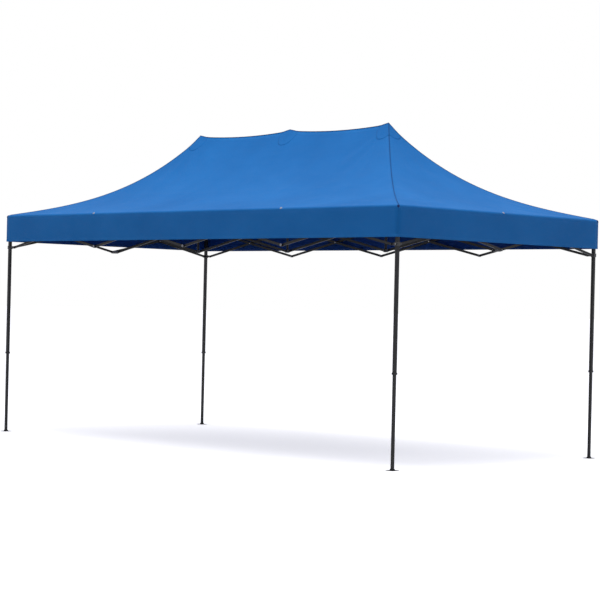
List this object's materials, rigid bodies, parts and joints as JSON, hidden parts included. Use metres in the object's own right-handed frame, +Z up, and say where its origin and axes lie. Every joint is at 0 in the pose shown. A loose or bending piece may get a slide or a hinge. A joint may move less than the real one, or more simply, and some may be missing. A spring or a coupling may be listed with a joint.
{
  "type": "pop up gazebo",
  "caption": "Folding gazebo with telescopic legs, a scissor truss roof frame on sliding corner brackets and peak poles, and a hip canopy with a straight valance.",
  "frame": {"origin": "on the ground under the centre of the gazebo", "axes": "+X along the long side, +Y along the short side, +Z up"},
  "size_m": [6.09, 3.09, 3.41],
  "materials": {
    "canopy_cloth": "satin polyester",
    "frame_paint": "satin powder coat",
    "bracket_plastic": "moulded nylon",
    "button_plastic": "moulded nylon"
  },
  "bodies": {
    "roof_centre": {"canopy": "canopy_cloth", "pole_hub_centre": "bracket_plastic"},
    "centre_bay3_fall": {"centre_bay3_fall": "frame_paint"},
    "peak_pole_right": {"peak_pole_right": "frame_paint"},
    "centre_bay4_rise": {"centre_bay4_rise": "frame_paint"},
    "side_hub_upper_right": {"side_hub_upper_right": "bracket_plastic"},
    "centre_bay4_fall": {"centre_bay4_fall": "frame_paint"},
    "side_hub_lower_right": {"side_hub_lower_right": "bracket_plastic"},
    "pole_hub_right": {"pole_hub_right": "bracket_plastic"},
    "centre_bay3_rise": {"centre_bay3_rise": "frame_paint"},
    "peak_pole_centre": {"peak_pole_centre": "frame_paint"},
    "centre_bay2_rise": {"centre_bay2_rise": "frame_paint"},
    "peak_pole_left": {"peak_pole_left": "frame_paint"},
    "centre_bay1_fall": {"centre_bay1_fall": "frame_paint"},
    "side_hub_upper_left": {"side_hub_upper_left": "bracket_plastic"},
    "centre_bay1_rise": {"centre_bay1_rise": "frame_paint"},
    "side_hub_lower_left": {"side_hub_lower_left": "bracket_plastic"},
    "pole_hub_left": {"pole_hub_left": "bracket_plastic"},
    "centre_bay2_fall": {"centre_bay2_fall": "frame_paint"},
    "side_left_bay2_rise": {"side_left_bay2_rise": "frame_paint"},
    "side_left_bay1_fall": {"side_left_bay1_fall": "frame_paint"},
    "upper_leg_back_left": {"upper_leg_back_left": "frame_paint"},
    "side_left_bay2_fall": {"side_left_bay2_fall": "frame_paint"},
    "slider_back_left": {"slider_back_left": "bracket_plastic"},
    "upper_leg_front_left": {"upper_leg_front_left": "frame_paint"},
    "side_left_bay1_rise": {"side_left_bay1_rise": "frame_paint"},
    "slider_front_left": {"slider_front_left": "bracket_plastic"},
    "side_right_bay2_rise": {"side_right_bay2_rise": "frame_paint"},
    "side_right_bay1_fall": {"side_right_bay1_fall": "frame_paint"},
    "upper_leg_back_right": {"upper_leg_back_right": "frame_paint"},
    "side_right_bay2_fall": {"side_right_bay2_fall": "frame_paint"},
    "slider_back_right": {"slider_back_right": "bracket_plastic"},
    "upper_leg_front_right": {"upper_leg_front_right": "frame_paint"},
    "side_right_bay1_rise": {"side_right_bay1_rise": "frame_paint"},
    "slider_front_right": {"slider_front_right": "bracket_plastic"},
    "long_front_bay4_rise": {"long_front_bay4_rise": "frame_paint"},
    "long_front_bay4_fall": {"long_front_bay4_fall": "frame_paint"},
    "long_front_bay3_fall": {"long_front_bay3_fall": "frame_paint"},
    "long_front_bay3_rise": {"long_front_bay3_rise": "frame_paint"},
    "long_front_bay1_fall": {"long_front_bay1_fall": "frame_paint"},
    "long_front_bay1_rise": {"long_front_bay1_rise": "frame_paint"},
    "long_front_bay2_rise": {"long_front_bay2_rise": "frame_paint"},
    "long_front_bay2_fall": {"long_front_bay2_fall": "frame_paint"},
    "long_back_bay4_rise": {"long_back_bay4_rise": "frame_paint"},
    "long_back_bay4_fall": {"long_back_bay4_fall": "frame_paint"},
    "long_back_bay3_fall": {"long_back_bay3_fall": "frame_paint"},
    "long_back_bay3_rise": {"long_back_bay3_rise": "frame_paint"},
    "long_back_bay1_fall": {"long_back_bay1_fall": "frame_paint"},
    "long_back_bay1_rise": {"long_back_bay1_rise": "frame_paint"},
    "long_back_bay2_rise": {"long_back_bay2_rise": "frame_paint"},
    "long_back_bay2_fall": {"long_back_bay2_fall": "frame_paint"},
    "lower_leg_front_left": {"lower_leg_front_left": "frame_paint"},
    "slider_button_front_left": {"slider_button_front_left": "button_plastic"},
    "lower_leg_front_right": {"lower_leg_front_right": "frame_paint"},
    "slider_button_front_right": {"slider_button_front_right": "button_plastic"},
    "lower_leg_back_left": {"lower_leg_back_left": "frame_paint"},
    "slider_button_back_left": {"slider_button_back_left": "button_plastic"},
    "lower_leg_back_right": {"lower_leg_back_right": "frame_paint"},
    "slider_button_back_right": {"slider_button_back_right": "button_plastic"}
  },
  "joints": [
    {"name": "frame_fold", "type": "hinge", "parent": "roof_centre", "child": "centre_bay3_fall", "pos_m": [0, 0, 2.42], "axis": [0, 1, 0], "range_deg": [0, 72]},
    {"name": "peak_pole_right_pivot", "type": "hinge", "parent": "centre_bay3_fall", "child": "peak_pole_right", "pos_m": [1.462, 0, 2.1], "axis": [0, 1, 0], "range_deg": [-72, 0]},
    {"name": "centre_bay4_rise_pivot", "type": "hinge", "parent": "peak_pole_right", "child": "centre_bay4_rise", "pos_m": [1.462, 0, 2.1], "axis": [0, 1, 0], "range_deg": [-72, 0]},
    {"name": "side_hub_upper_right_pivot", "type": "hinge", "parent": "centre_bay4_rise", "child": "side_hub_upper_right", "pos_m": [2.924, 0, 2.42], "axis": [0, 1, 0], "range_deg": [0, 72]},
    {"name": "centre_bay4_cross", "type": "hinge", "parent": "centre_bay4_rise", "child": "centre_bay4_fall", "pos_m": [2.193, 0, 2.26], "axis": [0, 1, 0], "range_deg": [0, 144]},
    {"name": "side_hub_lower_right_pivot", "type": "hinge", "parent": "centre_bay4_fall", "child": "side_hub_lower_right", "pos_m": [2.924, 0, 2.1], "axis": [0, 1, 0], "range_deg": [-72, 0]},
    {"name": "pole_hub_right_pivot", "type": "hinge", "parent": "centre_bay4_fall", "child": "pole_hub_right", "pos_m": [1.462, 0, 2.42], "axis": [0, 1, 0], "range_deg": [-72, 0]},
    {"name": "centre_bay3_cross", "type": "hinge", "parent": "centre_bay3_fall", "child": "centre_bay3_rise", "pos_m": [0.731, 0, 2.26], "axis": [0, 1, 0], "range_deg": [-144, 0]},
    {"name": "peak_pole_centre_pivot", "type": "hinge", "parent": "centre_bay3_rise", "child": "peak_pole_centre", "pos_m": [0, 0, 2.1], "axis": [0, 1, 0], "range_deg": [0, 72]},
    {"name": "centre_bay2_rise_pivot", "type": "hinge", "parent": "roof_centre", "child": "centre_bay2_rise", "pos_m": [0, 0, 2.42], "axis": [0, 1, 0], "range_deg": [-72, 0]},
    {"name": "peak_pole_left_pivot", "type": "hinge", "parent": "centre_bay2_rise", "child": "peak_pole_left", "pos_m": [-1.462, 0, 2.1], "axis": [0, 1, 0], "range_deg": [0, 72]},
    {"name": "centre_bay1_fall_pivot", "type": "hinge", "parent": "peak_pole_left", "child": "centre_bay1_fall", "pos_m": [-1.462, 0, 2.1], "axis": [0, 1, 0], "range_deg": [0, 72]},
    {"name": "side_hub_upper_left_pivot", "type": "hinge", "parent": "centre_bay1_fall", "child": "side_hub_upper_left", "pos_m": [-2.924, 0, 2.42], "axis": [0, 1, 0], "range_deg": [-72, 0]},
    {"name": "centre_bay1_cross", "type": "hinge", "parent": "centre_bay1_fall", "child": "centre_bay1_rise", "pos_m": [-2.193, 0, 2.26], "axis": [0, 1, 0], "range_deg": [-144, 0]},
    {"name": "side_hub_lower_left_pivot", "type": "hinge", "parent": "centre_bay1_rise", "child": "side_hub_lower_left", "pos_m": [-2.924, 0, 2.1], "axis": [0, 1, 0], "range_deg": [0, 72]},
    {"name": "pole_hub_left_pivot", "type": "hinge", "parent": "centre_bay1_rise", "child": "pole_hub_left", "pos_m": [-1.462, 0, 2.42], "axis": [0, 1, 0], "range_deg": [0, 72]},
    {"name": "centre_bay2_cross", "type": "hinge", "parent": "centre_bay2_rise", "child": "centre_bay2_fall", "pos_m": [-0.731, 0, 2.26], "axis": [0, 1, 0], "range_deg": [0, 144]},
    {"name": "side_left_bay2_rise_pivot", "type": "hinge", "parent": "side_hub_lower_left", "child": "side_left_bay2_rise", "pos_m": [-3, 0, 2.1], "axis": [1, 0, 0], "range_deg": [0, 72]},
    {"name": "side_left_bay1_fall_pivot", "type": "hinge", "parent": "side_hub_lower_left", "child": "side_left_bay1_fall", "pos_m": [-3, 0, 2.1], "axis": [1, 0, 0], "range_deg": [-72, 0]},
    {"name": "upper_leg_back_left_pivot", "type": "hinge", "parent": "side_left_bay2_rise", "child": "upper_leg_back_left", "pos_m": [-3, 1.462, 2.42], "axis": [1, 0, 0], "range_deg": [-72, 0]},
    {"name": "side_left_bay2_cross", "type": "hinge", "parent": "side_left_bay2_rise", "child": "side_left_bay2_fall", "pos_m": [-3, 0.731, 2.26], "axis": [1, 0, 0], "range_deg": [-144, 0]},
    {"name": "slider_back_left_pivot", "type": "hinge", "parent": "side_left_bay2_fall", "child": "slider_back_left", "pos_m": [-3, 1.462, 2.1], "axis": [1, 0, 0], "range_deg": [0, 72]},
    {"name": "upper_leg_front_left_pivot", "type": "hinge", "parent": "side_left_bay1_fall", "child": "upper_leg_front_left", "pos_m": [-3, -1.462, 2.42], "axis": [1, 0, 0], "range_deg": [0, 72]},
    {"name": "side_left_bay1_cross", "type": "hinge", "parent": "side_left_bay1_fall", "child": "side_left_bay1_rise", "pos_m": [-3, -0.731, 2.26], "axis": [1, 0, 0], "range_deg": [0, 144]},
    {"name": "slider_front_left_pivot", "type": "hinge", "parent": "side_left_bay1_rise", "child": "slider_front_left", "pos_m": [-3, -1.462, 2.1], "axis": [1, 0, 0], "range_deg": [-72, 0]},
    {"name": "side_right_bay2_rise_pivot", "type": "hinge", "parent": "side_hub_lower_right", "child": "side_right_bay2_rise", "pos_m": [3, 0, 2.1], "axis": [1, 0, 0], "range_deg": [0, 72]},
    {"name": "side_right_bay1_fall_pivot", "type": "hinge", "parent": "side_hub_lower_right", "child": "side_right_bay1_fall", "pos_m": [3, 0, 2.1], "axis": [1, 0, 0], "range_deg": [-72, 0]},
    {"name": "upper_leg_back_right_pivot", "type": "hinge", "parent": "side_right_bay2_rise", "child": "upper_leg_back_right", "pos_m": [3, 1.462, 2.42], "axis": [1, 0, 0], "range_deg": [-72, 0]},
    {"name": "side_right_bay2_cross", "type": "hinge", "parent": "side_right_bay2_rise", "child": "side_right_bay2_fall", "pos_m": [3, 0.731, 2.26], "axis": [1, 0, 0], "range_deg": [-144, 0]},
    {"name": "slider_back_right_pivot", "type": "hinge", "parent": "side_right_bay2_fall", "child": "slider_back_right", "pos_m": [3, 1.462, 2.1], "axis": [1, 0, 0], "range_deg": [0, 72]},
    {"name": "upper_leg_front_right_pivot", "type": "hinge", "parent": "side_right_bay1_fall", "child": "upper_leg_front_right", "pos_m": [3, -1.462, 2.42], "axis": [1, 0, 0], "range_deg": [0, 72]},
    {"name": "side_right_bay1_cross", "type": "hinge", "parent": "side_right_bay1_fall", "child": "side_right_bay1_rise", "pos_m": [3, -0.731, 2.26], "axis": [1, 0, 0], "range_deg": [0, 144]},
    {"name": "slider_front_right_pivot", "type": "hinge", "parent": "side_right_bay1_rise", "child": "slider_front_right", "pos_m": [3, -1.462, 2.1], "axis": [1, 0, 0], "range_deg": [-72, 0]},
    {"name": "long_front_bay4_rise_pivot", "type": "hinge", "parent": "upper_leg_front_right", "child": "long_front_bay4_rise", "pos_m": [2.924, -1.5, 2.42], "axis": [0, 1, 0], "range_deg": [-72, 0]},
    {"name": "long_front_bay4_cross", "type": "hinge", "parent": "long_front_bay4_rise", "child": "long_front_bay4_fall", "pos_m": [2.193, -1.5, 2.26], "axis": [0, 1, 0], "range_deg": [0, 144]},
    {"name": "long_front_bay3_fall_pivot", "type": "hinge", "parent": "long_front_bay4_rise", "child": "long_front_bay3_fall", "pos_m": [1.462, -1.5, 2.1], "axis": [0, 1, 0], "range_deg": [0, 144]},
    {"name": "long_front_bay3_cross", "type": "hinge", "parent": "long_front_bay3_fall", "child": "long_front_bay3_rise", "pos_m": [0.731, -1.5, 2.26], "axis": [0, 1, 0], "range_deg": [-144, 0]},
    {"name": "long_front_bay1_fall_pivot", "type": "hinge", "parent": "upper_leg_front_left", "child": "long_front_bay1_fall", "pos_m": [-2.924, -1.5, 2.42], "axis": [0, 1, 0], "range_deg": [0, 72]},
    {"name": "long_front_bay1_cross", "type": "hinge", "parent": "long_front_bay1_fall", "child": "long_front_bay1_rise", "pos_m": [-2.193, -1.5, 2.26], "axis": [0, 1, 0], "range_deg": [-144, 0]},
    {"name": "long_front_bay2_rise_pivot", "type": "hinge", "parent": "long_front_bay1_fall", "child": "long_front_bay2_rise", "pos_m": [-1.462, -1.5, 2.1], "axis": [0, 1, 0], "range_deg": [-144, 0]},
    {"name": "long_front_bay2_cross", "type": "hinge", "parent": "long_front_bay2_rise", "child": "long_front_bay2_fall", "pos_m": [-0.731, -1.5, 2.26], "axis": [0, 1, 0], "range_deg": [0, 144]},
    {"name": "long_back_bay4_rise_pivot", "type": "hinge", "parent": "upper_leg_back_right", "child": "long_back_bay4_rise", "pos_m": [2.924, 1.5, 2.42], "axis": [0, 1, 0], "range_deg": [-72, 0]},
    {"name": "long_back_bay4_cross", "type": "hinge", "parent": "long_back_bay4_rise", "child": "long_back_bay4_fall", "pos_m": [2.193, 1.5, 2.26], "axis": [0, 1, 0], "range_deg": [0, 144]},
    {"name": "long_back_bay3_fall_pivot", "type": "hinge", "parent": "long_back_bay4_rise", "child": "long_back_bay3_fall", "pos_m": [1.462, 1.5, 2.1], "axis": [0, 1, 0], "range_deg": [0, 144]},
    {"name": "long_back_bay3_cross", "type": "hinge", "parent": "long_back_bay3_fall", "child": "long_back_bay3_rise", "pos_m": [0.731, 1.5, 2.26], "axis": [0, 1, 0], "range_deg": [-144, 0]},
    {"name": "long_back_bay1_fall_pivot", "type": "hinge", "parent": "upper_leg_back_left", "child": "long_back_bay1_fall", "pos_m": [-2.924, 1.5, 2.42], "axis": [0, 1, 0], "range_deg": [0, 72]},
    {"name": "long_back_bay1_cross", "type": "hinge", "parent": "long_back_bay1_fall", "child": "long_back_bay1_rise", "pos_m": [-2.193, 1.5, 2.26], "axis": [0, 1, 0], "range_deg": [-144, 0]},
    {"name": "long_back_bay2_rise_pivot", "type": "hinge", "parent": "long_back_bay1_fall", "child": "long_back_bay2_rise", "pos_m": [-1.462, 1.5, 2.1], "axis": [0, 1, 0], "range_deg": [-144, 0]},
    {"name": "long_back_bay2_cross", "type": "hinge", "parent": "long_back_bay2_rise", "child": "long_back_bay2_fall", "pos_m": [-0.731, 1.5, 2.26], "axis": [0, 1, 0], "range_deg": [0, 144]},
    {"name": "leg_height_front_left", "type": "slide", "parent": "upper_leg_front_left", "child": "lower_leg_front_left", "axis": [0, 0, 1], "range_m": [0, 0.78]},
    {"name": "slider_button_front_left_press", "type": "slide", "parent": "slider_front_left", "child": "slider_button_front_left", "axis": [0, 1, 0], "range_m": [0, 0.003], "stiffness_N_per_m": 600},
    {"name": "leg_height_front_right", "type": "slide", "parent": "upper_leg_front_right", "child": "lower_leg_front_right", "axis": [0, 0, 1], "range_m": [0, 0.78]},
    {"name": "slider_button_front_right_press", "type": "slide", "parent": "slider_front_right", "child": "slider_button_front_right", "axis": [0, 1, 0], "range_m": [0, 0.003], "stiffness_N_per_m": 600},
    {"name": "leg_height_back_left", "type": "slide", "parent": "upper_leg_back_left", "child": "lower_leg_back_left", "axis": [0, 0, 1], "range_m": [0, 0.78]},
    {"name": "slider_button_back_left_press", "type": "slide", "parent": "slider_back_left", "child": "slider_button_back_left", "axis": [0, -1, 0], "range_m": [0, 0.003], "stiffness_N_per_m": 600},
    {"name": "leg_height_back_right", "type": "slide", "parent": "upper_leg_back_right", "child": "lower_leg_back_right", "axis": [0, 0, 1], "range_m": [0, 0.78]},
    {"name": "slider_button_back_right_press", "type": "slide", "parent": "slider_back_right", "child": "slider_button_back_right", "axis": [0, -1, 0], "range_m": [0, 0.003], "stiffness_N_per_m": 600}
  ],
  "couplings": [
    {"joint": "peak_pole_right_pivot", "follows": "frame_fold", "ratio": -1},
    {"joint": "centre_bay4_rise_pivot", "follows": "frame_fold", "ratio": -1},
    {"joint": "side_hub_upper_right_pivot", "follows": "frame_fold", "ratio": 1},
    {"joint": "centre_bay4_cross", "follows": "frame_fold", "ratio": 2},
    {"joint": "side_hub_lower_right_pivot", "follows": "frame_fold", "ratio": -1},
    {"joint": "pole_hub_right_pivot", "follows": "frame_fold", "ratio": -1},
    {"joint": "centre_bay3_cross", "follows": "frame_fold", "ratio": -2},
    {"joint": "peak_pole_centre_pivot", "follows": "frame_fold", "ratio": 1},
    {"joint": "centre_bay2_rise_pivot", "follows": "frame_fold", "ratio": -1},
    {"joint": "peak_pole_left_pivot", "follows": "frame_fold", "ratio": 1},
    {"joint": "centre_bay1_fall_pivot", "follows": "frame_fold", "ratio": 1},
    {"joint": "side_hub_upper_left_pivot", "follows": "frame_fold", "ratio": -1},
    {"joint": "centre_bay1_cross", "follows": "frame_fold", "ratio": -2},
    {"joint": "side_hub_lower_left_pivot", "follows": "frame_fold", "ratio": 1},
    {"joint": "pole_hub_left_pivot", "follows": "frame_fold", "ratio": 1},
    {"joint": "centre_bay2_cross", "follows": "frame_fold", "ratio": 2},
    {"joint": "side_left_bay2_rise_pivot", "follows": "frame_fold", "ratio": 1},
    {"joint": "side_left_bay1_fall_pivot", "follows": "frame_fold", "ratio": -1},
    {"joint": "upper_leg_back_left_pivot", "follows": "frame_fold", "ratio": -1},
    {"joint": "side_left_bay2_cross", "follows": "frame_fold", "ratio": -2},
    {"joint": "slider_back_left_pivot", "follows": "frame_fold", "ratio": 1},
    {"joint": "upper_leg_front_left_pivot", "follows": "frame_fold", "ratio": 1},
    {"joint": "side_left_bay1_cross", "follows": "frame_fold", "ratio": 2},
    {"joint": "slider_front_left_pivot", "follows": "frame_fold", "ratio": -1},
    {"joint": "side_right_bay2_rise_pivot", "follows": "frame_fold", "ratio": 1},
    {"joint": "side_right_bay1_fall_pivot", "follows": "frame_fold", "ratio": -1},
    {"joint": "upper_leg_back_right_pivot", "follows": "frame_fold", "ratio": -1},
    {"joint": "side_right_bay2_cross", "follows": "frame_fold", "ratio": -2},
    {"joint": "slider_back_right_pivot", "follows": "frame_fold", "ratio": 1},
    {"joint": "upper_leg_front_right_pivot", "follows": "frame_fold", "ratio": 1},
    {"joint": "side_right_bay1_cross", "follows": "frame_fold", "ratio": 2},
    {"joint": "slider_front_right_pivot", "follows": "frame_fold", "ratio": -1},
    {"joint": "long_front_bay4_rise_pivot", "follows": "frame_fold", "ratio": -1},
    {"joint": "long_front_bay4_cross", "follows": "frame_fold", "ratio": 2},
    {"joint": "long_front_bay3_fall_pivot", "follows": "frame_fold", "ratio": 2},
    {"joint": "long_front_bay3_cross", "follows": "frame_fold", "ratio": -2},
    {"joint": "long_front_bay1_fall_pivot", "follows": "frame_fold", "ratio": 1},
    {"joint": "long_front_bay1_cross", "follows": "frame_fold", "ratio": -2},
    {"joint": "long_front_bay2_rise_pivot", "follows": "frame_fold", "ratio": -2},
    {"joint": "long_front_bay2_cross", "follows": "frame_fold", "ratio": 2},
    {"joint": "long_back_bay4_rise_pivot", "follows": "frame_fold", "ratio": -1},
    {"joint": "long_back_bay4_cross", "follows": "frame_fold", "ratio": 2},
    {"joint": "long_back_bay3_fall_pivot", "follows": "frame_fold", "ratio": 2},
    {"joint": "long_back_bay3_cross", "follows": "frame_fold", "ratio": -2},
    {"joint": "long_back_bay1_fall_pivot", "follows": "frame_fold", "ratio": 1},
    {"joint": "long_back_bay1_cross", "follows": "frame_fold", "ratio": -2},
    {"joint": "long_back_bay2_rise_pivot", "follows": "frame_fold", "ratio": -2},
    {"joint": "long_back_bay2_cross", "follows": "frame_fold", "ratio": 2}
  ]
}
